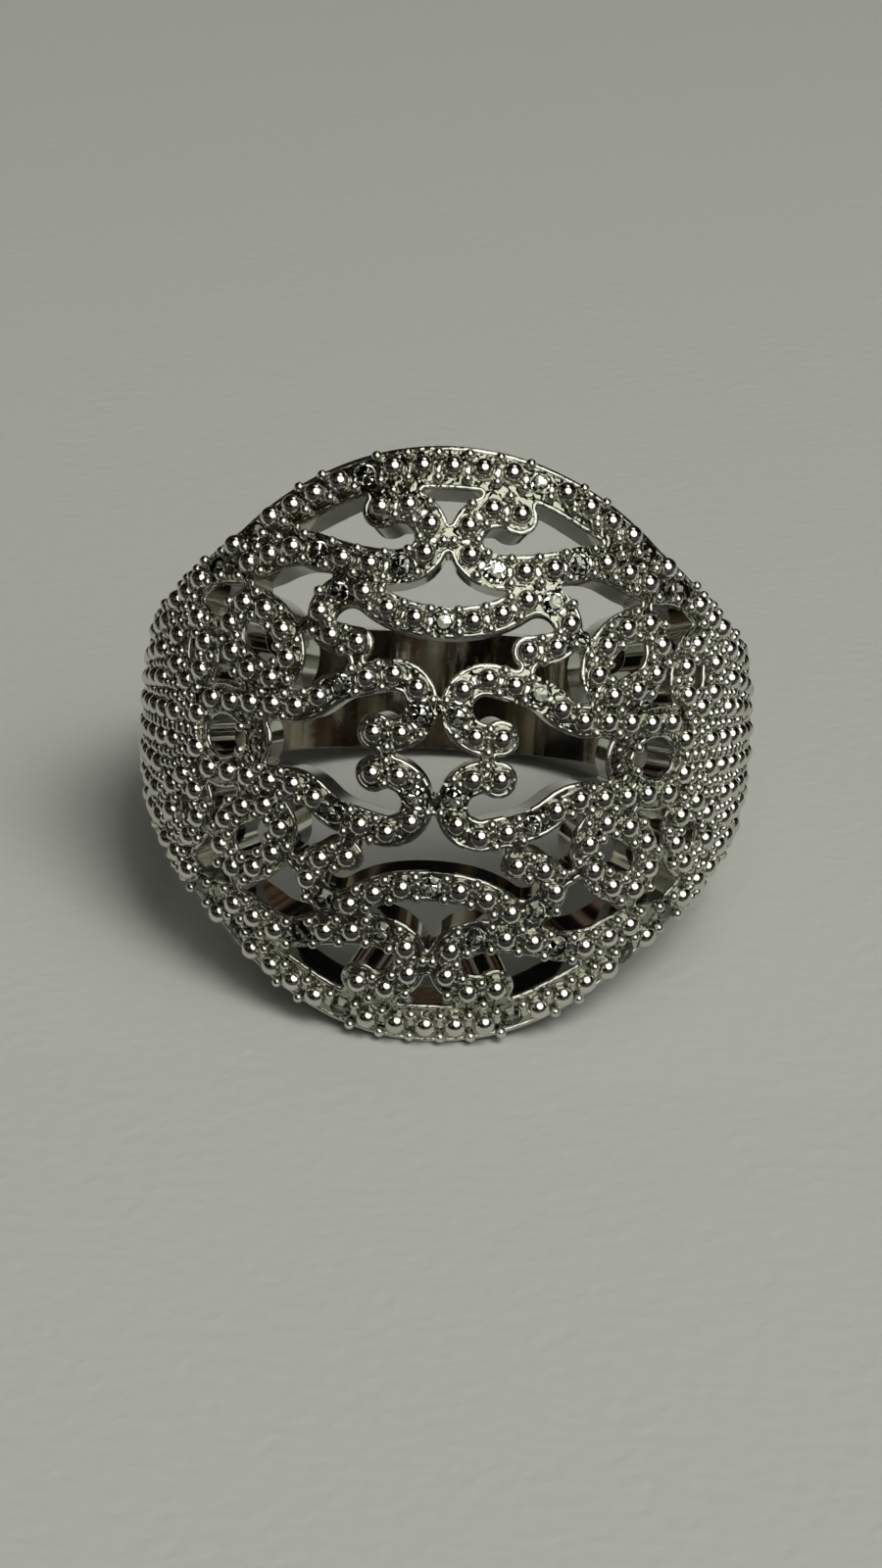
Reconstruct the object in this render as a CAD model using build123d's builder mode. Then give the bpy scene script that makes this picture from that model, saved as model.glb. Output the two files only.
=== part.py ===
from build123d import *
from math import asin, atan2, cos, degrees, sin, sqrt
import os

# An openwork dress ring in cast precious metal: a domed grille of beaded
# scrolls, set with small single-cut diamonds, on a plain band.
# Millimetres. While it is modelled the finger axis is Z and the dome faces -Y;
# at the end the whole ring is tipped to lie on the dome's rim and the band.

# Finger hole and band
finger_bore = 17.4
band_wall = 1.3
band_width = 4.6

# Dome: a barrel about its own upright axis, in front of the finger axis
dome_half_width = 10.6
dome_sweep_radius = 20.0
dome_axis_forward = 2.28
dome_wall = 1.2
rim_half_height = 10.2

# Scrollwork
rim_width = 1.32
scroll_width = 1.12
bow_width = 1.02
heart_width = 1.06
leaf_width = 1.12
joint_radius = 0.36
corner_radius = 0.10
least_gap_area = 0.12

# Beading and stones
bead_diameter = 0.76
bead_pitch = 0.97
bead_rise = 0.10
least_bead_gap = 0.04
stone_diameter = 0.82
stone_table_share = 0.58
stone_facets = 8
crown_height = 0.17
girdle_height = 0.04
pavilion_depth = 0.40
culet_share = 0.08
stone_clearance = 0.03

# The dome is charted flat. "across" is the distance round the dome from its
# middle, a share of dome_half_width. "along" is the height up the finger
# axis, a share of rim_half_height. Each scroll starts with an arc through its
# first three rows and goes on in arcs that run into each other.
# across, along
rim_run = [
    (-0.151, 0.9216),
    (0.0, 0.9294),
    (0.151, 0.9216),
    (0.396, 0.8470),
    (0.630, 0.7240),
    (0.786, 0.6210),
]
scroll_run = [
    (0.2226, 0.7863),
    (0.1651, 0.8029),
    (0.1085, 0.7922),
    (0.0528, 0.7059),
    (0.0991, 0.6255),
    (0.1887, 0.6029),
    (0.4057, 0.6324),
    (0.6038, 0.6100),
    (0.8000, 0.5600),
    (0.9500, 0.5050),
    (1.1320, 0.4100),
]
bow_run = [
    (-0.1132, 0.4471),
    (0.0, 0.4353),
    (0.1132, 0.4471),
    (0.2406, 0.5039),
    (0.3349, 0.5167),
    (0.4000, 0.4510),
    (0.3585, 0.3667),
    (0.2698, 0.3530),
]
heart_run = [
    (0.2019, 0.0667),
    (0.1462, 0.0608),
    (0.0925, 0.0843),
    (0.0547, 0.1588),
    (0.1651, 0.2569),
    (0.2877, 0.2255),
    (0.3868, 0.1686),
    (0.4906, 0.1275),
    (0.6415, 0.1225),
]
# Holes of the leaves that fan out from the band, each a closed run that ends
# where it starts; the side leaf is given from its point to its root
leaf_hole = [
    (0.6950, 0.3873),
    (0.6260, 0.3765),
    (0.5640, 0.3120),
    (0.6100, 0.2640),
    (0.6720, 0.2930),
    (0.6950, 0.3873),
]
outer_leaf_hole = [
    (1.0150, 0.3250),
    (0.9650, 0.3200),
    (0.9300, 0.2700),
    (0.9650, 0.2150),
    (1.0100, 0.2500),
    (1.0150, 0.3250),
]
side_leaf_hole = [
    (0.6700, 0.0),
    (0.7150, 0.0520),
    (0.7750, 0.0700),
    (0.8350, 0.0450),
    (0.8500, 0.0),
]
# Rows of beads on the shoulders, from the leaves to the band, each a gentle arc
shoulder_rows = [
    [(1.040, 0.046), (1.270, 0.046), (1.500, 0.040)],
    [(1.085, 0.150), (1.300, 0.134), (1.510, 0.108)],
    [(1.110, 0.250), (1.300, 0.222), (1.500, 0.176)],
    [(1.100, 0.355), (1.280, 0.312), (1.450, 0.250)],
]
# Round ends of the scrolls: across, along, radius as a share of half the width
scroll_end = (0.2226, 0.7843, 1.10)
heart_end = (0.2000, 0.0686, 1.13)
# Places where neighbours are cast together
joints = [
    (0.4580, 0.3970),
    (0.2750, 0.3000),
    (0.7080, 0.5060),
    (0.8180, 0.3350),
    (0.1620, 0.0),
]
# The metal of the shoulder beyond the leaves: where it starts and ends across,
# and how high it is
shoulder_block = (0.94, 1.35, 0.50)

# The ring from the side. The notch is where the rim meets the shoulder: how
# far forward, as a share of the apex, and how high, of rim_half_height.
notch_place = (0.644, 0.676)
# Then back, as a share of the band's outer radius, and up, as a share of the
# way from the band's edge to the notch
shoulder_outline = [
    (-0.728, 0.783),
    (-0.590, 0.543),
    (-0.430, 0.359),
    (0.0, 0.141),
    (0.5, 0.026),
]

band_outer_radius = finger_bore / 2 + band_wall
apex = dome_axis_forward + dome_half_width
bead_radius = bead_diameter / 2
stone_radius = stone_diameter / 2
seat_radius = stone_radius + stone_clearance
seat_depth = pavilion_depth + 2 * stone_clearance

# Clear of the metal, for shapes that cut it or that it is cut from
run_out = 1.2
run_in = dome_wall + 1.8
barrel_height = rim_half_height + run_out
reach = 2 * apex

# Nearly nothing: a length in mm, and a share of a distance
flat = 1e-6
close_share = 1e-3


def barrel_radius(height):
    """Radius of the dome about its own axis, at a height up the finger axis."""
    return dome_half_width - dome_sweep_radius + sqrt(dome_sweep_radius**2 - height**2)


def dome_normal(place):
    """Outward direction of the dome at a place on the chart."""
    turn = place.X / barrel_radius(place.Y)
    lean = asin(place.Y / dome_sweep_radius)
    return Vector(cos(lean) * sin(turn), -cos(lean) * cos(turn), sin(lean))


def on_dome(place, lift=0.0):
    """Point on the dome's outside, or over it, at a place on the chart."""
    radius = barrel_radius(place.Y)
    turn = place.X / radius
    foot = Vector(radius * sin(turn), -dome_axis_forward - radius * cos(turn), place.Y)
    return foot + dome_normal(place) * lift


def tangent_plane(place, lift=0.0):
    """Plane that lies on the dome, or over it, at a place on the chart."""
    normal = dome_normal(place)
    across = Vector(0, 0, 1).cross(normal)
    return Plane(origin=on_dome(place, lift), x_dir=across, z_dir=normal)


def charted(table):
    """Rows of shares as places on the chart in mm."""
    return [Vector(across * dome_half_width, along * rim_half_height, 0) for across, along in table]


def as_edge(start, middle, end):
    """Arc through three points, or a line where they lie straight."""
    bulge = (middle - start).cross(end - start).length
    if bulge < flat * (end - start).length:
        return Line(start, end)
    return ThreePointArc(start, middle, end)


def run_of_arcs(points):
    """Arc through the first three points, then arcs that run on smoothly."""
    edges = [ThreePointArc(points[0], points[1], points[2])]
    for point in points[3:]:
        edges.append(TangentArc(edges[-1] @ 1, point, tangent=edges[-1] % 1))
    return [(edge @ 0, edge @ 0.5, edge @ 1) for edge in edges]


def shifted(arc, distance):
    """The same arc moved to the right of its travel."""
    edge = as_edge(*arc)
    sides = [Vector((edge % t).Y, -(edge % t).X, 0) for t in (0, 0.5, 1)]
    return tuple(point + side * distance for point, side in zip(arc, sides))


def corner(centre, start, end):
    """Arc about a point, from start to end, the short way round."""
    middle = (start + end) * 0.5 - centre
    return (start, centre + middle.normalized() * (start - centre).length, end)


def grown(loop, distance):
    """An anticlockwise loop moved outwards, with round corners."""
    moved = [shifted(arc, distance) for arc in loop]
    result = []
    for index, arc in enumerate(moved):
        follower = moved[(index + 1) % len(moved)]
        result.append(arc)
        if (arc[2] - follower[0]).length > close_share * distance:
            result.append(corner(loop[index][2], arc[2], follower[0]))
    return result


def strip(run, half_width):
    """Outline of a run of arcs that is given a width and round ends."""
    right = [shifted(arc, half_width) for arc in run]
    left = [shifted(arc, -half_width)[::-1] for arc in reversed(run)]
    ahead = as_edge(*run[-1]) % 1
    behind = as_edge(*run[0]) % 0
    front = (right[-1][2], run[-1][2] + ahead * half_width, left[0][0])
    back = (left[-1][2], run[0][0] - behind * half_width, right[0][0])
    return right + [front] + left + [back]


def both_halves(upper):
    """Closed loop from its upper half, which starts and ends on the middle line."""
    lower = [tuple(Vector(p.X, -p.Y, 0) for p in arc[::-1]) for arc in reversed(upper)]
    return upper + lower


def signed_area(loop):
    """Area of a loop, less than zero where it goes clockwise."""
    points = [point for start, middle, end in loop for point in (start, middle)]
    total = 0.0
    for here, there in zip(points, points[1:] + points[:1]):
        total += here.X * there.Y - there.X * here.Y
    return total / 2


def anticlockwise(loop):
    """The loop, turned round if it goes clockwise."""
    if signed_area(loop) > 0:
        return loop
    return [arc[::-1] for arc in reversed(loop)]


def loop_of_wire(wire):
    """A wire's edges as an anticlockwise loop of arcs."""
    pieces = [(edge @ 0, edge @ 0.5, edge @ 1) for edge in wire.edges()]
    loop = [pieces.pop()]
    while pieces:
        tail = loop[-1][2]
        steps = [min((arc[0] - tail).length, (arc[2] - tail).length) for arc in pieces]
        arc = pieces.pop(steps.index(min(steps)))
        ahead = (arc[0] - tail).length <= (arc[2] - tail).length
        loop.append(arc if ahead else arc[::-1])
    return anticlockwise(loop)


def middle_of(loop):
    """Mean place of a loop's corners on the chart."""
    return sum((arc[0] for arc in loop), Vector(0, 0, 0)) / len(loop)


def four_ways(place):
    """A place of the first quarter and its mirror images, without doubles."""
    across = {place.X, -place.X} if place.X > flat else {0.0}
    along = {place.Y, -place.Y} if place.Y > flat else {0.0}
    return [Vector(x, y, 0) for x in sorted(across) for y in sorted(along)]


rim_path = run_of_arcs(charted(rim_run))
scroll_path = run_of_arcs(charted(scroll_run))
bow_path = run_of_arcs(charted(bow_run))
heart_path = run_of_arcs(charted(heart_run))
leaf_loop = anticlockwise(run_of_arcs(charted(leaf_hole)))
outer_leaf_loop = anticlockwise(run_of_arcs(charted(outer_leaf_hole)))
side_leaf_loop = anticlockwise(both_halves(run_of_arcs(charted(side_leaf_hole))))
leaf_loops = [leaf_loop, outer_leaf_loop, side_leaf_loop]

# The metal on the flat chart, drawn fatter by corner_radius, so that its gaps
# can be grown back with round corners
strips = [
    (rim_path, rim_width),
    (scroll_path, scroll_width),
    (bow_path, bow_width),
    (heart_path, heart_width),
]
outlines = [strip(path, width / 2 + corner_radius) for path, width in strips]
outlines += [grown(loop, leaf_width + corner_radius) for loop in leaf_loops]
round_ends = [(scroll_end, scroll_width), (heart_end, heart_width)]
shoulder_start = shoulder_block[0] * dome_half_width
shoulder_end = shoulder_block[1] * dome_half_width

with BuildSketch() as pattern:
    for outline in outlines:
        with BuildLine():
            for arc in outline:
                as_edge(*arc)
        make_face()
    for (across, along, share), width in round_ends:
        with Locations(charted([(across, along)])[0]):
            Circle(share * width / 2 + corner_radius)
    with Locations(*charted(joints)):
        Circle(joint_radius)
    with Locations(((shoulder_start + shoulder_end) / 2, 0)):
        Rectangle(shoulder_end - shoulder_start, 2 * shoulder_block[2] * rim_half_height)
    mirror(about=Plane.YZ)
    mirror(about=Plane.XZ)

with BuildSketch() as leaf_holes:
    for loop in leaf_loops:
        with BuildLine():
            for arc in loop:
                as_edge(*arc)
        make_face()
    mirror(about=Plane.YZ)
    mirror(about=Plane.XZ)

gaps = [loop_of_wire(face.outer_wire()) for face in leaf_holes.sketch.faces()]
for wire in pattern.sketch.faces()[0].inner_wires():
    loop = loop_of_wire(wire)
    if signed_area(loop) > least_gap_area:
        gaps.append(grown(loop, corner_radius))


def barrel(cut):
    """Half section of the dome's barrel, smaller all round by a cut."""
    tall = sqrt((dome_sweep_radius - cut) ** 2 - barrel_height**2)
    end_radius = dome_half_width - dome_sweep_radius + tall
    upright = Plane((0, -dome_axis_forward, 0), x_dir=(1, 0, 0), z_dir=(0, -1, 0))
    with BuildSketch(upright) as section:
        with BuildLine():
            ThreePointArc(
                (end_radius, -barrel_height),
                (dome_half_width - cut, 0),
                (end_radius, barrel_height),
            )
            Polyline(
                (end_radius, barrel_height),
                (0, barrel_height),
                (0, -barrel_height),
                (end_radius, -barrel_height),
            )
        make_face()
    return section.sketch


# Side view, run out past the metal in front and behind
band_half = band_width / 2
rim_front = dome_axis_forward + barrel_radius(rim_half_height)
notch = (-notch_place[0] * apex, notch_place[1] * rim_half_height)
rise = notch[1] - band_half
rim_slope = (notch[0] + rim_front) / (rim_half_height - notch[1])
side_points = [notch]
side_points += [(back * band_outer_radius, band_half + up * rise) for back, up in shoulder_outline]
side_points += [(band_outer_radius, band_half)]

with BuildSketch(Plane.YZ) as side_view:
    with BuildLine():
        Spline(*side_points)
        Polyline(
            side_points[-1],
            (reach, band_half),
            (reach, 0),
            (-reach, 0),
            (-reach, barrel_height),
            (-rim_front - rim_slope * run_out, barrel_height),
            notch,
        )
    make_face()
    mirror(about=Plane.XZ)

dome_axis = Axis((0, -dome_axis_forward, 0), (0, 0, 1))

with BuildPart() as hollow:
    add(barrel(dome_wall))
    revolve(axis=dome_axis)
    Cylinder(finger_bore / 2, 2 * barrel_height)


def from_middle(run):
    """A run whose first arc is centred on the middle line, from there on."""
    edge = as_edge(*run[0])
    return [(edge @ 0.5, edge @ 0.75, edge @ 1)] + run[1:]


def spaced(run, closed=False):
    """Places one bead pitch apart, or nearly, along a run of arcs."""
    edges = [as_edge(*arc) for arc in run]
    lengths = [edge.length for edge in edges]
    count = round(sum(lengths) / bead_pitch)
    places = []
    for step in range(count + (0 if closed else 1)):
        left = step * sum(lengths) / count
        index = 0
        while index < len(edges) - 1 and left > lengths[index]:
            left -= lengths[index]
            index += 1
        places.append(edges[index] @ min(left / lengths[index], 1))
    return places


def clear_of(place, others, least):
    """Whether a place keeps a least distance from others on the dome."""
    return all((on_dome(place) - on_dome(other)).length > least for other in others)


# Each row of beads, with the counted places where a small diamond is set
# instead of a bead
bead_rows = [
    (spaced(from_middle(rim_path)), [3, 8]),
    (spaced(scroll_path), [4, 7, 12]),
    (spaced(from_middle(bow_path)), [0, 4]),
    (spaced(heart_path), [2, 6]),
    (spaced(grown(leaf_loop, leaf_width / 2), closed=True), []),
    (spaced(grown(outer_leaf_loop, leaf_width / 2), closed=True), []),
    (spaced(grown(side_leaf_loop, leaf_width / 2), closed=True), []),
]
bead_rows += [(spaced(run_of_arcs(charted(row))), []) for row in shoulder_rows]

least_apart = bead_diameter + least_bead_gap
quarter_stones = [places[index] for places, picked in bead_rows for index in picked]
quarter_beads = []
for places, picked in bead_rows:
    for place in places:
        in_quarter = place.X > -flat and place.Y > -flat
        if in_quarter and clear_of(place, quarter_stones + quarter_beads, least_apart):
            quarter_beads.append(place)
bead_places = [image for place in quarter_beads for image in four_ways(place)]
stone_places = [image for place in quarter_stones for image in four_ways(place)]

# The casting is one solid: dome and band round the finger hole, trimmed to the
# side view, pierced, with raised beads and a drilled seat under each diamond
seat_centre = (run_out - seat_depth) / 2

# A bead's poles lie beside its foot, not under it, so that it melts into the
# dome at any size
poles_aside = (90, 0, 0)

with BuildPart() as casting:
    add(barrel(0))
    revolve(axis=dome_axis)
    Cylinder(band_outer_radius, 2 * notch[1])
    add(hollow.part, mode=Mode.SUBTRACT)
    extrude(side_view.sketch, amount=reach, both=True, mode=Mode.INTERSECT)
    for loop in gaps:
        plane = tangent_plane(middle_of(loop))
        with BuildSketch(plane.offset(run_out)):
            with BuildLine():
                for arc in loop:
                    spots = [plane.to_local_coords(on_dome(point)) for point in arc]
                    as_edge(*[Vector(spot.X, spot.Y, 0) for spot in spots])
            make_face()
    extrude(amount=-run_out - run_in, mode=Mode.SUBTRACT)
    with Locations(*[Location(tangent_plane(place, bead_rise)) for place in bead_places]):
        Sphere(bead_radius, rotation=poles_aside)
    with Locations(*[Location(tangent_plane(place, seat_centre)) for place in stone_places]):
        Cylinder(seat_radius, seat_depth + run_out, mode=Mode.SUBTRACT)

# A single-cut diamond: culet, girdle below and above, table. Height and
# radius of each section; its origin is in the middle of the girdle's lower edge
stone_sections = [
    (-pavilion_depth, culet_share * stone_radius),
    (0, stone_radius),
    (girdle_height, stone_radius),
    (girdle_height + crown_height, stone_table_share * stone_radius),
]
with BuildPart() as diamond:
    for height, radius in stone_sections:
        with BuildSketch(Plane.XY.offset(height)):
            RegularPolygon(radius, stone_facets)
    loft(ruled=True)

# The ring is tipped until the dome's rim and the back of the band both lie on
# the ground, and its origin is under the middle of its box
tilt = degrees(atan2(rim_half_height - band_half, rim_front + band_outer_radius))
tipped = Location((0, 0, 0), (-tilt, 0, 0))
box = casting.part.moved(tipped).bounding_box()
resting = Location((-box.center().X, -box.center().Y, -box.min.Z)) * tipped

os.makedirs("parts", exist_ok=True)
ring_casting = casting.part.moved(resting)
ring_casting.label = "ring_casting"
export_step(ring_casting, "parts/ring_casting.step")

for number, place in enumerate(stone_places, start=1):
    seat = Location(tangent_plane(place, -girdle_height))
    stone = diamond.part.moved(resting * seat)
    stone.label = f"diamond_{number:02d}"
    export_step(stone, f"parts/{stone.label}.step")

print("gaps", len(gaps), "beads", len(bead_places), "stones", len(stone_places))
print("tilt", round(tilt, 2), "centre shift", resting.position)
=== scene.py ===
import bmesh
import bpy
from math import asin, atan2, cos, pi, radians, sin, sqrt
from mathutils import Euler, Matrix, Vector, kdtree
from mathutils.bvhtree import BVHTree


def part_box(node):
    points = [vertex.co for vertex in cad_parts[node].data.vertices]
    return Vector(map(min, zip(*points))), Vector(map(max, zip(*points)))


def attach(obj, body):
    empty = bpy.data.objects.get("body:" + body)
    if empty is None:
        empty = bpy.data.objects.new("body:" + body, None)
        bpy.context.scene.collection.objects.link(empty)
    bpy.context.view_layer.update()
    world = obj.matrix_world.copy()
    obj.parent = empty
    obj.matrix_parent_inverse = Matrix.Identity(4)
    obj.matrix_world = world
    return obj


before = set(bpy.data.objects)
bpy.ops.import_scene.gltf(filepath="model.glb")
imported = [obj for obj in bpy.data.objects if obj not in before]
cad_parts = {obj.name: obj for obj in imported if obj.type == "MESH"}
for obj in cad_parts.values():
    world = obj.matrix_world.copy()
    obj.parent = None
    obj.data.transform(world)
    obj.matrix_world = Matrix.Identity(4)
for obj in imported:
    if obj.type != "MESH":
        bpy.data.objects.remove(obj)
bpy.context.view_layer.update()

# Camera: a close-up from in front of the dome and a little above it, as in the
# photograph, with the ring near the middle of a tall picture.
camera_place = Vector((0.003093, -0.113198, 0.066321))
camera_turn = Euler((radians(61.12), radians(-2.03), radians(2.74)))
camera_lens = 81.1

lens = bpy.data.cameras.new("camera")
lens.lens = camera_lens
lens.sensor_width = 36
lens.clip_start = 0.01
lens.clip_end = 10
camera = bpy.data.objects.new("camera", lens)
camera.location = camera_place
camera.rotation_euler = camera_turn
bpy.context.scene.collection.objects.link(camera)
bpy.context.scene.camera = camera

# The casting: dome, shoulders, band and large beads in one piece of sterling
# silver, cast, polished and plated with rhodium. Between the beads it keeps soft
# dents, and its colour there is darker: painted shade. In the finger hole it has
# fine streaks in its bump, and its colour is darkened there in brownish streaks:
# painted shade.
half_width = 0.0106
sweep_radius = 0.020
axis_forward = 0.00228
finger_axis_foot = Vector((0, 0.00184163, 0.00580092))
lean_degrees = -21.47
bore_radius = 0.00875
rubbed_edge = 0.00005
face_slack = 0.00002
beads_end_back = -0.0026
beads_end_front = -0.0036
plain_dents = 0.015
streak_size = 0.0008
streak_squash = 0.06
streak_height = 0.22
cloud_scale = 900
least_wear = 0.6
most_wear = 1.6
silver_dark = (0.60, 0.61, 0.55)
silver_pale = (0.74, 0.73, 0.68)
land_painted_shade = (0.50, 0.51, 0.46, 1)
bore_painted_shade_dark = (0.32, 0.26, 0.205, 1)
bore_painted_shade_pale = (0.52, 0.50, 0.455, 1)


def maths(tree, operation, *values):
    """A Math node on sockets or plain numbers, and its result."""
    node = tree.nodes.new("ShaderNodeMath")
    node.operation = operation
    for socket, value in zip(node.inputs, values):
        if isinstance(value, (int, float)):
            socket.default_value = value
        else:
            tree.links.new(value, socket)
    return node.outputs[0]


def slant(tree, one, other):
    """The long side over two sides that stand square to each other."""
    squares = [maths(tree, "POWER", side, 2) for side in (one, other)]
    return maths(tree, "SQRT", maths(tree, "ADD", *squares))


def mottle(tree, place, scale, detail):
    """A soft cloudy pattern."""
    noise = tree.nodes.new("ShaderNodeTexNoise")
    noise.inputs["Scale"].default_value = scale
    noise.inputs["Detail"].default_value = detail
    tree.links.new(place, noise.inputs["Vector"])
    return noise.outputs["Fac"]


def two_tones(tree, pattern, dark, pale, dark_at, pale_at):
    """A colour that goes with a pattern from a dark tone to a pale one."""
    ramp = tree.nodes.new("ShaderNodeValToRGB")
    ramp.color_ramp.elements[0].position = dark_at
    ramp.color_ramp.elements[0].color = dark
    ramp.color_ramp.elements[1].position = pale_at
    ramp.color_ramp.elements[1].color = pale
    tree.links.new(pattern, ramp.inputs["Fac"])
    return ramp.outputs["Color"]


def with_painted_shade(tree, share, colour, painted_shade):
    """A colour darkened by painted shade, a tone or a pattern, where a mask says so."""
    mix = tree.nodes.new("ShaderNodeMix")
    mix.data_type = "RGBA"
    mix.blend_type = "MULTIPLY"
    tree.links.new(share, mix.inputs[0])
    tree.links.new(colour, mix.inputs[6])
    if isinstance(painted_shade, tuple):
        mix.inputs[7].default_value = painted_shade
    else:
        tree.links.new(painted_shade, mix.inputs[7])
    return mix.outputs[2]


def cast_silver(name, dent_size, dent_depth, roughness, shade=1.0, whole_ring=False):
    """Bright plated silver with soft dents; the whole ring's changes from part to part, with painted
    shade between the beads and in the finger hole.
    """
    material = bpy.data.materials.new(name)
    material.use_nodes = True
    tree = material.node_tree
    nodes = tree.nodes
    links = tree.links
    shader = nodes["Principled BSDF"]
    shader.inputs["Metallic"].default_value = 1.0
    place = nodes.new("ShaderNodeTexCoord").outputs["Object"]
    height = mottle(tree, place, 1 / dent_size, 1)
    cloud = mottle(tree, place, cloud_scale, 2)
    dark = (*[part * shade for part in silver_dark], 1)
    pale = (*[part * shade for part in silver_pale], 1)
    colour = two_tones(tree, cloud, dark, pale, dark_at=0.35, pale_at=0.65)

    if whole_ring:
        upright = nodes.new("ShaderNodeMapping")
        upright.vector_type = "TEXTURE"
        upright.inputs["Location"].default_value = finger_axis_foot
        upright.inputs["Rotation"].default_value = (radians(lean_degrees), 0, 0)
        links.new(place, upright.inputs["Vector"])
        split = nodes.new("ShaderNodeSeparateXYZ")
        links.new(upright.outputs["Vector"], split.inputs["Vector"])
        across, back, up = split.outputs

        from_dome_axis = slant(tree, across, maths(tree, "ADD", back, axis_forward))
        from_ring = maths(tree, "SUBTRACT", from_dome_axis, half_width - sweep_radius)
        over = maths(tree, "SUBTRACT", slant(tree, from_ring, up), sweep_radius)
        near_face = maths(tree, "LESS_THAN", maths(tree, "ABSOLUTE", over), face_slack)
        fade = nodes.new("ShaderNodeMapRange")
        fade.inputs["From Min"].default_value = beads_end_back
        fade.inputs["From Max"].default_value = beads_end_front
        links.new(back, fade.inputs["Value"])
        on_face = maths(tree, "MULTIPLY", near_face, fade.outputs["Result"])
        dented = maths(tree, "MULTIPLY", on_face, 1 - plain_dents)
        height = maths(tree, "MULTIPLY", height, maths(tree, "ADD", dented, plain_dents))
        # Painted shade: the dome's face between the beads is coloured darker than the beads.
        colour = with_painted_shade(tree, on_face, colour, land_painted_shade)

        in_bore = maths(tree, "LESS_THAN", slant(tree, across, back), bore_radius)
        drawn = nodes.new("ShaderNodeMapping")
        drawn.inputs["Scale"].default_value = (1, 1, streak_squash)
        links.new(upright.outputs["Vector"], drawn.inputs["Vector"])
        streaks = mottle(tree, drawn.outputs["Vector"], 1 / streak_size, 2)
        scratched = maths(tree, "MULTIPLY", maths(tree, "MULTIPLY", streaks, in_bore), streak_height)
        height = maths(tree, "ADD", height, scratched)
        # Painted shade: the colour in the finger hole is darkened in brownish streaks.
        bore_painted_shade = two_tones(tree, streaks, bore_painted_shade_dark, bore_painted_shade_pale, dark_at=0.38, pale_at=0.62)
        colour = with_painted_shade(tree, in_bore, colour, bore_painted_shade)

    links.new(colour, shader.inputs["Base Color"])
    bump = nodes.new("ShaderNodeBump")
    bump.inputs["Strength"].default_value = 1.0
    bump.inputs["Distance"].default_value = dent_depth
    links.new(height, bump.inputs["Height"])
    rubbed = nodes.new("ShaderNodeBevel")
    rubbed.samples = 4
    rubbed.inputs["Radius"].default_value = rubbed_edge
    links.new(rubbed.outputs["Normal"], bump.inputs["Normal"])
    links.new(bump.outputs["Normal"], shader.inputs["Normal"])
    wear = nodes.new("ShaderNodeMapRange")
    wear.inputs["To Min"].default_value = roughness * least_wear
    wear.inputs["To Max"].default_value = roughness * most_wear
    links.new(cloud, wear.inputs["Value"])
    links.new(wear.outputs["Result"], shader.inputs["Roughness"])
    return material


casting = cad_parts["ring_casting"]
casting.data.materials[0] = cast_silver(
    "cast_silver", dent_size=0.00026, dent_depth=0.00012, roughness=0.10, whole_ring=True
)

# The rounded edges of the scrollwork: the outer edge of each opening in the dome
# was rubbed down to a smooth lip. It is the casting's own silver a little darker,
# which is painted shade, made here as a fine wire let into the sharp edge, and it
# stops short of the stones.
lip_radius = 0.00011
lip_depth = 0.0001079
edge_angle = radians(35)
surface_slack = 0.000006
merge_distance = 1e-7
band_starts = 0.002
stone_clear = 0.00065

lean_back = Matrix.Rotation(radians(lean_degrees), 3, "X")
body = bmesh.new()
body.from_mesh(casting.data)
bmesh.ops.remove_doubles(body, verts=body.verts, dist=merge_distance)
metal = BVHTree.FromBMesh(body)

stone_centres = []
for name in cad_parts:
    if name.startswith("diamond"):
        low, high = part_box(name)
        stone_centres.append((Vector(low) + Vector(high)) / 2)
stone_tree = kdtree.KDTree(len(stone_centres))
for index, centre in enumerate(stone_centres):
    stone_tree.insert(centre, index)
stone_tree.balance()


def stood_upright(point):
    """Where a point comes to lie when the finger axis is stood upright."""
    return lean_back.transposed() @ (point - finger_axis_foot)


def height_over_dome(point):
    """How far a point lies outside the dome's outer face."""
    place = stood_upright(point)
    from_dome_axis = sqrt(place.x**2 + (place.y + axis_forward) ** 2)
    ring_centre = half_width - sweep_radius
    return sqrt((from_dome_axis - ring_centre) ** 2 + place.z**2) - sweep_radius


def gets_a_lip(edge):
    """Whether an edge is a sharp outer edge of the dome, away from the stones."""
    if not edge.is_convex or edge.calc_face_angle(0) < edge_angle:
        return False
    points = [vert.co for vert in edge.verts]
    if any(abs(height_over_dome(point)) >= surface_slack for point in points):
        return False
    in_front = stood_upright(points[0]).y < band_starts
    return in_front and stone_tree.find(points[0])[2] > stone_clear


sharp_edges = [edge for edge in body.edges if gets_a_lip(edge)]
inward = {}
for edge in sharp_edges:
    push = sum((face.normal for face in edge.link_faces), Vector())
    for vert in edge.verts:
        inward[vert] = inward.get(vert, Vector()) - push.normalized()
route = bmesh.new()
sunk = {}
for vert, way in inward.items():
    sunk[vert] = route.verts.new(vert.co + way.normalized() * lip_depth)
for edge in sharp_edges:
    route.edges.new([sunk[vert] for vert in edge.verts])
body.free()
mesh = bpy.data.meshes.new("lip_route")
route.to_mesh(mesh)
route.free()
lips = bpy.data.objects.new("rounded_edges", mesh)
bpy.context.scene.collection.objects.link(lips)

for other in bpy.context.selected_objects:
    other.select_set(False)
bpy.context.view_layer.objects.active = lips
lips.select_set(True)
bpy.ops.object.convert(target="CURVE")
lips.data.bevel_depth = lip_radius
lips.data.bevel_resolution = 1
bpy.ops.object.convert(target="MESH")
lips.select_set(False)
# Painted shade: shade=0.85 makes this silver a little darker than the casting's.
rubbed_silver = cast_silver(
    "rubbed_silver", dent_size=0.0003, dent_depth=0.00006, roughness=0.12, shade=0.85
)
lips.data.materials.clear()
lips.data.materials.append(rubbed_silver)
for polygon in lips.data.polygons:
    polygon.use_smooth = True
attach(lips, "root")

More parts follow.
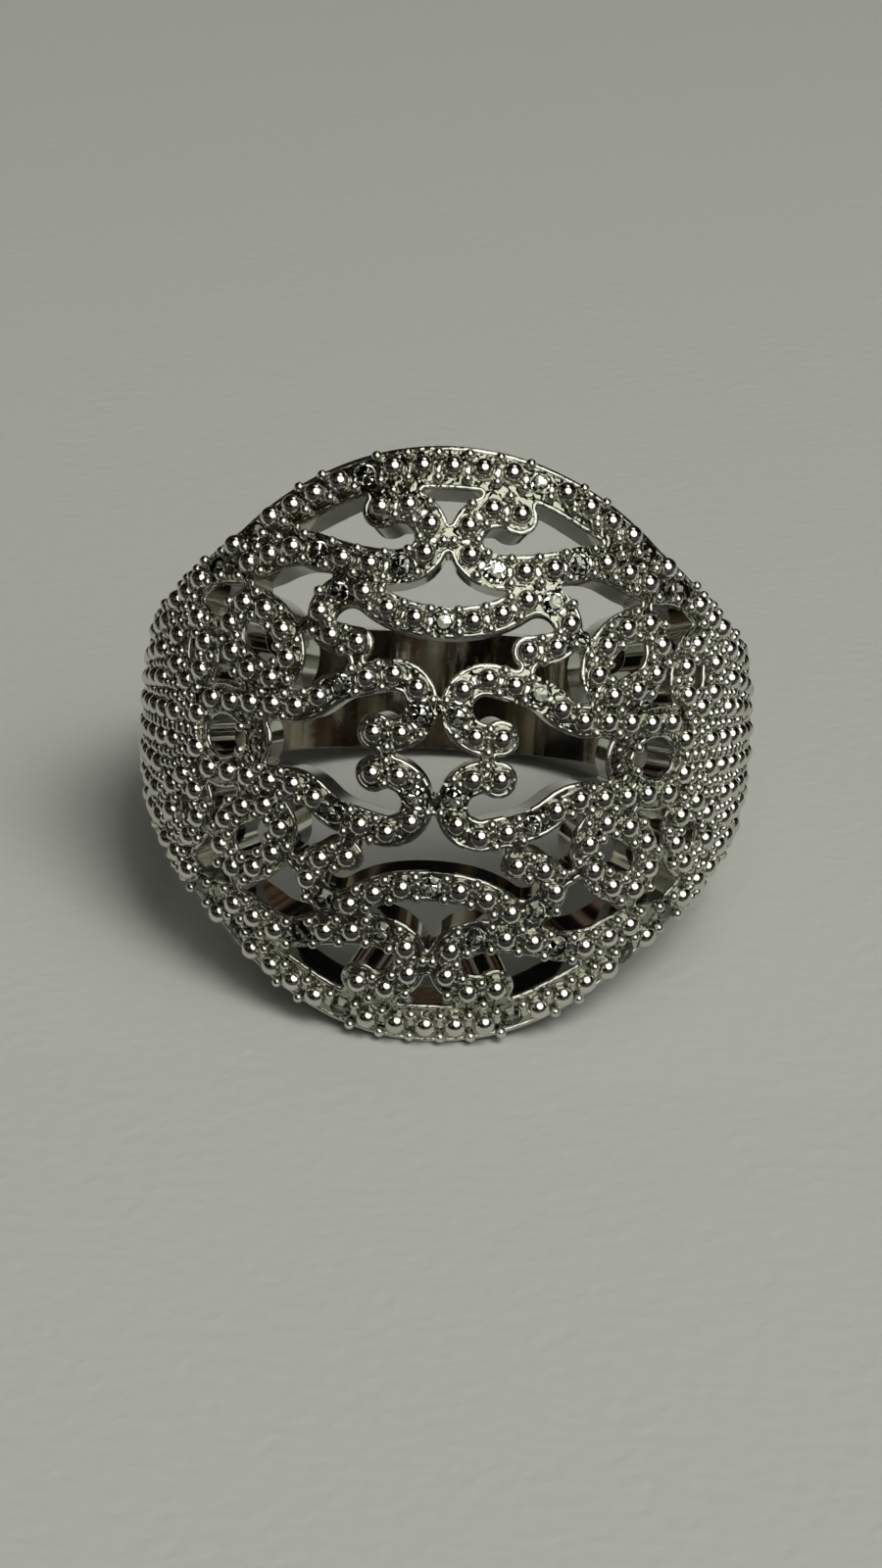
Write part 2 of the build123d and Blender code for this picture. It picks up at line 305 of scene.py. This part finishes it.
# The small beads: silver grains, cast with the ring and polished bright, two
# beside each gap between large beads, and crowded together over the shoulders.
# They follow the rows of large beads, which are charted flat here.
half_height = 0.0102
bead_pitch = 0.00097
bead_width = 0.00076
small_radius = 0.00020
row_gap = 0.00056
# A charted place is how far round the dome it lies, as a share of half_width, and
# how far up, as a share of half_height.
rim_run = [
    (-0.151, 0.9216), (0.0, 0.9294), (0.151, 0.9216), (0.396, 0.8470), (0.630, 0.7240),
    (0.786, 0.6210),
]
scroll_run = [
    (0.2226, 0.7863), (0.1651, 0.8029), (0.1085, 0.7922), (0.0528, 0.7059), (0.0991, 0.6255),
    (0.1887, 0.6029), (0.4057, 0.6324), (0.6038, 0.6100), (0.8000, 0.5600), (0.9500, 0.5050),
    (1.1320, 0.4100),
]
bow_run = [
    (-0.1132, 0.4471), (0.0, 0.4353), (0.1132, 0.4471), (0.2406, 0.5039), (0.3349, 0.5167),
    (0.4000, 0.4510), (0.3585, 0.3667), (0.2698, 0.3530),
]
heart_run = [
    (0.2019, 0.0667), (0.1462, 0.0608), (0.0925, 0.0843), (0.0547, 0.1588), (0.1651, 0.2569),
    (0.2877, 0.2255), (0.3868, 0.1686), (0.4906, 0.1275), (0.6415, 0.1225),
]
leaf_hole = [
    (0.6950, 0.3873), (0.6260, 0.3765), (0.5640, 0.3120), (0.6100, 0.2640), (0.6720, 0.2930),
    (0.6950, 0.3873),
]
outer_leaf_hole = [
    (1.0150, 0.3250), (0.9650, 0.3200), (0.9300, 0.2700), (0.9650, 0.2150), (1.0100, 0.2500),
    (1.0150, 0.3250),
]
side_leaf_hole = [
    (0.6700, 0.0), (0.7150, 0.0520), (0.7750, 0.0700), (0.8350, 0.0450), (0.8500, 0.0),
]
shoulder_rows = [
    [(1.040, 0.046), (1.270, 0.046), (1.500, 0.040)],
    [(1.085, 0.150), (1.300, 0.134), (1.510, 0.108)],
    [(1.110, 0.250), (1.300, 0.222), (1.500, 0.176)],
    [(1.100, 0.355), (1.280, 0.312), (1.450, 0.250)],
]
bead_lift = 0.8
bead_foot = 0.001
bare_slack = 0.00003
past_the_wall = 0.0013
middle_slack = 1e-6
too_short = 1e-9
a_step_ahead = 1e-5
round_the_dome = Vector((1, 0))
four_quarters = [Vector((across, along)) for across in (1, -1) for along in (1, -1)]
fill_pitch = 0.00012
fill_start = 0.90 * half_width
fill_end = 1.55 * half_width
fill_top = 0.75 * half_height


def on_dome(place, lift=0.0):
    """Point on the dome, or over it, at a charted place, and the way out there."""
    radius = half_width - sweep_radius + sqrt(sweep_radius**2 - place.y**2)
    turn = place.x / radius
    rise = asin(place.y / sweep_radius)
    out = Vector((cos(rise) * sin(turn), -cos(rise) * cos(turn), sin(rise)))
    foot = Vector((radius * sin(turn), -axis_forward - radius * cos(turn), place.y))
    return lean_back @ (foot + out * lift) + finger_axis_foot, lean_back @ out


def laid_on_dome(place, heading, lift):
    """Matrix of a small thing on the dome: its X along a heading, its Z outwards."""
    centre, out = on_dome(place, lift)
    ahead = (on_dome(place + heading * a_step_ahead, lift)[0] - centre).normalized()
    side = out.cross(ahead).normalized()
    ahead = side.cross(out)
    turn = Matrix((ahead, side, out)).transposed().to_4x4()
    return Matrix.Translation(centre) @ turn


def arc_from(start, heading, end, steps=24):
    """Points of the arc that leaves a start in a heading and goes to an end."""
    chord = end - start
    across = Vector((-heading.y, heading.x))
    offset = chord.dot(across)
    if abs(offset) < too_short:
        return [start.lerp(end, step / steps) for step in range(steps + 1)], heading
    radius = chord.length_squared / (2 * offset)
    centre = start + across * radius
    sweep = 2 * atan2(offset, chord.dot(heading))
    spoke = start - centre
    points = [centre + Matrix.Rotation(sweep * step / steps, 2) @ spoke for step in range(steps + 1)]
    return points, Matrix.Rotation(sweep, 2) @ heading


def turn_between(one, other):
    """The angle from one way to another, anticlockwise."""
    return atan2(one.x * other.y - one.y * other.x, one.dot(other))


def first_heading(start, middle, end):
    """Heading at the start of the arc through three points."""
    turned = turn_between(middle - start, end - start)
    bend = turn_between(middle - start, end - middle)
    return (Matrix.Rotation(turned - bend, 2) @ (middle - start)).normalized()


def smooth_run(table):
    """A fine polyline along a run of arcs, the first of them through three places."""
    places = [Vector((across * half_width, along * half_height)) for across, along in table]
    points, heading = arc_from(places[0], first_heading(*places[:3]), places[2], steps=48)
    for place in places[3:]:
        more, heading = arc_from(points[-1], heading, place)
        points += more[1:]
    return points


def evenly(points, pitch, closed=False, offset=0.0):
    """Places a pitch apart, or nearly, along a polyline, each with its heading."""
    lengths = [0.0]
    for here, there in zip(points, points[1:]):
        lengths.append(lengths[-1] + (there - here).length)
    count = round(lengths[-1] / pitch)
    result = []
    index = 0
    for step in range(count + (0 if closed or offset else 1)):
        goal = (step + offset) * lengths[-1] / count
        while index < len(points) - 2 and lengths[index + 1] < goal:
            index += 1
        share = (goal - lengths[index]) / (lengths[index + 1] - lengths[index])
        way = (points[index + 1] - points[index]).normalized()
        result.append((points[index].lerp(points[index + 1], share), way))
    return result


def outset(points, distance):
    """A closed polyline moved out of the area that it goes round."""
    area = sum(a.x * b.y - b.x * a.y for a, b in zip(points, points[1:] + points[:1]))
    step = distance if area > 0 else -distance
    result = []
    for before, here, after in zip(points[-1:] + points[:-1], points, points[1:] + points[:1]):
        for way in (here - before, after - here):
            if way.length > too_short:
                result.append(here + Vector((way.y, -way.x)).normalized() * step)
    return result + result[:1]


def from_middle(points):
    """The half of a polyline that starts on the middle line."""
    misses = [abs(point.x) + (point.x < -middle_slack) for point in points]
    return points[misses.index(min(misses)):]


def on_bare_metal(place):
    """Whether the casting's smooth outer face lies under a place on the chart."""
    over, out = on_dome(place, bead_foot)
    hit = metal.ray_cast(over, -out, 2 * bead_foot)
    return hit[0] is not None and abs(hit[3] - bead_foot) < bare_slack


def has_footing(place, margin):
    """Whether there is metal all round a place, out to a margin."""
    ring = [Vector((cos(turn * pi / 3), sin(turn * pi / 3))) * margin for turn in range(6)]
    starts = [on_dome(place + step, bead_foot)[0] for step in ring]
    down = -on_dome(place)[1]
    return all(metal.ray_cast(start, down, past_the_wall)[0] for start in starts)


def has_room(place, from_large, from_small):
    """Whether a place keeps its distance from the large beads and the small ones."""
    foot = on_dome(place)[0]
    if bead_tree.find(foot)[2] < from_large:
        return False
    return all((foot - other).length > from_small for other in small_feet)


def add_small_bead(place, room, apart, footing):
    """Plants a small bead if there is room for it; the three are shares of its radius."""
    if not has_room(place, bead_width / 2 + small_radius * room, small_radius * apart):
        return
    if on_bare_metal(place) and has_footing(place, small_radius * footing):
        small_beads.append(place)
        small_feet.append(on_dome(place)[0])


def cast_grains(name, radius, matrices, material):
    """One piece of many like grains: a small ball, copied and laid by each matrix."""
    ball = bmesh.new()
    bmesh.ops.create_uvsphere(ball, u_segments=8, v_segments=6, radius=radius)
    for face in ball.faces:
        face.smooth = True
    pattern = bpy.data.meshes.new("grain")
    ball.to_mesh(pattern)
    ball.free()
    made = bmesh.new()
    for matrix in matrices:
        grain = pattern.copy()
        grain.transform(matrix)
        made.from_mesh(grain)
        bpy.data.meshes.remove(grain)
    bpy.data.meshes.remove(pattern)
    mesh = bpy.data.meshes.new(name)
    made.to_mesh(mesh)
    made.free()
    mesh.materials.append(material)
    piece = bpy.data.objects.new(name, mesh)
    bpy.context.scene.collection.objects.link(piece)
    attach(piece, "root")


side_upper = smooth_run(side_leaf_hole)
side_whole = side_upper + [Vector((point.x, -point.y)) for point in reversed(side_upper)][1:]
# Each row's points, whether it closes, and how far beside it the small beads lie.
rows = [
    (from_middle(smooth_run(rim_run)), False, 0.00040),
    (smooth_run(scroll_run), False, 0.00040),
    (from_middle(smooth_run(bow_run)), False, 0.00036),
    (smooth_run(heart_run), False, 0.00038),
    (outset(smooth_run(leaf_hole), row_gap), True, 0.00040),
    (outset(smooth_run(outer_leaf_hole), row_gap), True, 0.00040),
    (outset(side_whole, row_gap), True, 0.00040),
]
rows += [(smooth_run(row), False, 0.0005) for row in shoulder_rows]

beads = []
for points, closed, reach in rows:
    places = [place for place, way in evenly(points, bead_pitch, closed)]
    beads += [place for place in places if not on_bare_metal(place)]
bead_tree = kdtree.KDTree(len(beads) * 2)
for index, place in enumerate(beads):
    bead_tree.insert(on_dome(place)[0], index)
    bead_tree.insert(on_dome(Vector((place.x, -place.y)))[0], index)
bead_tree.balance()

small_beads = []
small_feet = []
for points, closed, reach in rows:
    for place, way in evenly(points, bead_pitch, closed, offset=0.5):
        side = Vector((-way.y, way.x))
        for spot in (place + side * reach, place - side * reach):
            if spot.x > -middle_slack and spot.y > -middle_slack:
                add_small_bead(spot, room=0.2, apart=1.5, footing=0.72)
for row in range(int(fill_top / fill_pitch)):
    for column in range(int((fill_end - fill_start) / fill_pitch)):
        spot = Vector((fill_start + column * fill_pitch, (row + 0.5) * fill_pitch))
        add_small_bead(spot, room=0.3, apart=1.8, footing=0.9)

studs = []
for spot in small_beads:
    for flip in four_quarters:
        studs.append(laid_on_dome(spot * flip, round_the_dome, small_radius * bead_lift))
bright_silver = cast_silver("bright_silver", dent_size=0.0003, dent_depth=0.000012, roughness=0.06)
cast_grains("small_beads", small_radius, studs, bright_silver)

# The bridges: a low bar of silver across the ribbon between each two large beads,
# cast with the ring and rubbed as smooth as its edges.
bridge_width = 0.00016
bridge_share = 0.6
bridge_height = 0.00006

bars = []
for points, closed, reach in rows:
    size = Matrix.Diagonal((bridge_width, reach * bridge_share, bridge_height, 1))
    for spot, way in evenly(points, bead_pitch, closed, offset=0.5):
        for flip in four_quarters:
            bars.append(laid_on_dome(spot * flip, way * flip, 0) @ size)
cast_grains("bead_bridges", 1, bars, rubbed_silver)

# The diamonds: small single-cut stones of nearly no colour, set low in drilled
# seats between the beads, where little light comes through them. Their colour is
# painted dark grey and their reflections are dimmed: painted shade.
stone_painted_shade = (0.28, 0.29, 0.25, 1)
glint_painted_shade = (0.54, 0.55, 0.46, 1)
diamond_index = 2.42

diamond = bpy.data.materials.new("small_diamond")
diamond.use_nodes = True
shader = diamond.node_tree.nodes["Principled BSDF"]
# Painted shade: the colourless stone's colour is set dark grey.
shader.inputs["Base Color"].default_value = stone_painted_shade
shader.inputs["Roughness"].default_value = 0.0
shader.inputs["IOR"].default_value = diamond_index
# Painted shade: this tint dims the stones' reflections.
shader.inputs["Specular Tint"].default_value = glint_painted_shade
shader.inputs["Transmission Weight"].default_value = 1.0
for name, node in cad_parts.items():
    if name.startswith("diamond"):
        node.data.materials[0] = diamond

# The floor: a wide sheet of pale matt card with a faint emboss. The ring only
# stands on it.
floor_half = 1.0
paper_grain = 0.0006
paper_depth = 0.00004
paper_colour = (0.304, 0.312, 0.2935, 1)

floor_mesh = bmesh.new()
bmesh.ops.create_grid(floor_mesh, x_segments=1, y_segments=1, size=floor_half)
mesh = bpy.data.meshes.new("floor")
floor_mesh.to_mesh(mesh)
floor_mesh.free()
floor = bpy.data.objects.new("floor", mesh)
bpy.context.scene.collection.objects.link(floor)
card = bpy.data.materials.new("pale_card")
card.use_nodes = True
paper = card.node_tree
shader = paper.nodes["Principled BSDF"]
shader.inputs["Base Color"].default_value = paper_colour
shader.inputs["Roughness"].default_value = 0.75
grain = mottle(paper, paper.nodes.new("ShaderNodeTexCoord").outputs["Object"], 1 / paper_grain, 1)
emboss = paper.nodes.new("ShaderNodeBump")
emboss.inputs["Strength"].default_value = 1.0
emboss.inputs["Distance"].default_value = paper_depth
paper.links.new(grain, emboss.inputs["Height"])
paper.links.new(emboss.outputs["Normal"], shader.inputs["Normal"])
mesh.materials.append(card)

# The lamps: a large softbox above and to the right of the camera, which the beads
# mirror as round spots, a weak one overhead, and one for the floor, which the
# metal doesn't mirror.
middle = Vector((0, -0.004, 0.009))
lamp_colour = (1.0, 1.0, 0.93)


def lamp(name, side, up, away, size, power):
    """A round soft lamp, so many degrees to the right of the ring's front and up."""
    side = radians(side)
    up = radians(up)
    light = bpy.data.lights.new(name, "AREA")
    light.shape = "DISK"
    light.size = size
    light.energy = power
    light.color = lamp_colour
    stand = bpy.data.objects.new(name, light)
    stand.location = middle + Vector((sin(side) * cos(up), -cos(side) * cos(up), sin(up))) * away
    stand.rotation_euler = (middle - stand.location).to_track_quat("-Z", "Y").to_euler()
    bpy.context.scene.collection.objects.link(stand)
    return stand


lamp("softbox", side=30, up=50, away=0.9, size=1.10, power=6.0)
lamp("overhead_lamp", side=150, up=70, away=1.2, size=0.5, power=1.0)
floor_lamp = lamp("floor_lamp", side=35, up=55, away=0.8, size=0.4, power=6.0)
floor_lamp.visible_glossy = False

# The dark card: it lies on the floor before the ring in place of the unlit room,
# so that the metal mirrors black there and not the pale floor: a painted dark reflection.
# Only polished metal sees it: it throws no shadow and the camera looks through it.
card_near = -0.0135
card_far = -0.40
card_width = 0.6
card_height = 0.0004
card_black = (0.02, 0.02, 0.02, 1)

card_mesh = bmesh.new()
bmesh.ops.create_grid(card_mesh, x_segments=1, y_segments=1, size=0.5)
bmesh.ops.scale(card_mesh, vec=(card_width, card_near - card_far, 1), verts=card_mesh.verts)
shift = (0, (card_near + card_far) / 2, card_height)
bmesh.ops.translate(card_mesh, vec=shift, verts=card_mesh.verts)
mesh = bpy.data.meshes.new("dark_card")
card_mesh.to_mesh(mesh)
card_mesh.free()
dark_card = bpy.data.objects.new("dark_card", mesh)
bpy.context.scene.collection.objects.link(dark_card)
dark_card.visible_camera = False
dark_card.visible_diffuse = False
dark_card.visible_shadow = False
dark_card.visible_transmission = False
black = bpy.data.materials.new("dark_card")
black.use_nodes = True
shader = black.node_tree.nodes["Principled BSDF"]
shader.inputs["Base Color"].default_value = card_black
shader.inputs["Roughness"].default_value = 0.9
mesh.materials.append(black)

# The room: nearly black, with a few dim warm and pale patches that the metal
# mirrors as streaks. It adds hardly any light of its own.
room_dark = (0.002, 0.0022, 0.002, 1)
room_warm = (0.06, 0.035, 0.022, 1)
room_pale = (0.12, 0.125, 0.10, 1)
patch_scale = 2.6

world = bpy.data.worlds.new("room")
world.use_nodes = True
air = world.node_tree
around = air.nodes.new("ShaderNodeTexCoord").outputs["Generated"]
patches = mottle(air, around, patch_scale, 2)
shades = two_tones(air, patches, room_dark, room_pale, dark_at=0.50, pale_at=0.66)
shades.node.color_ramp.elements.new(0.57).color = room_warm
air.links.new(shades, air.nodes["Background"].inputs["Color"])
bpy.context.scene.world = world
bpy.context.scene.view_settings.view_transform = "Standard"
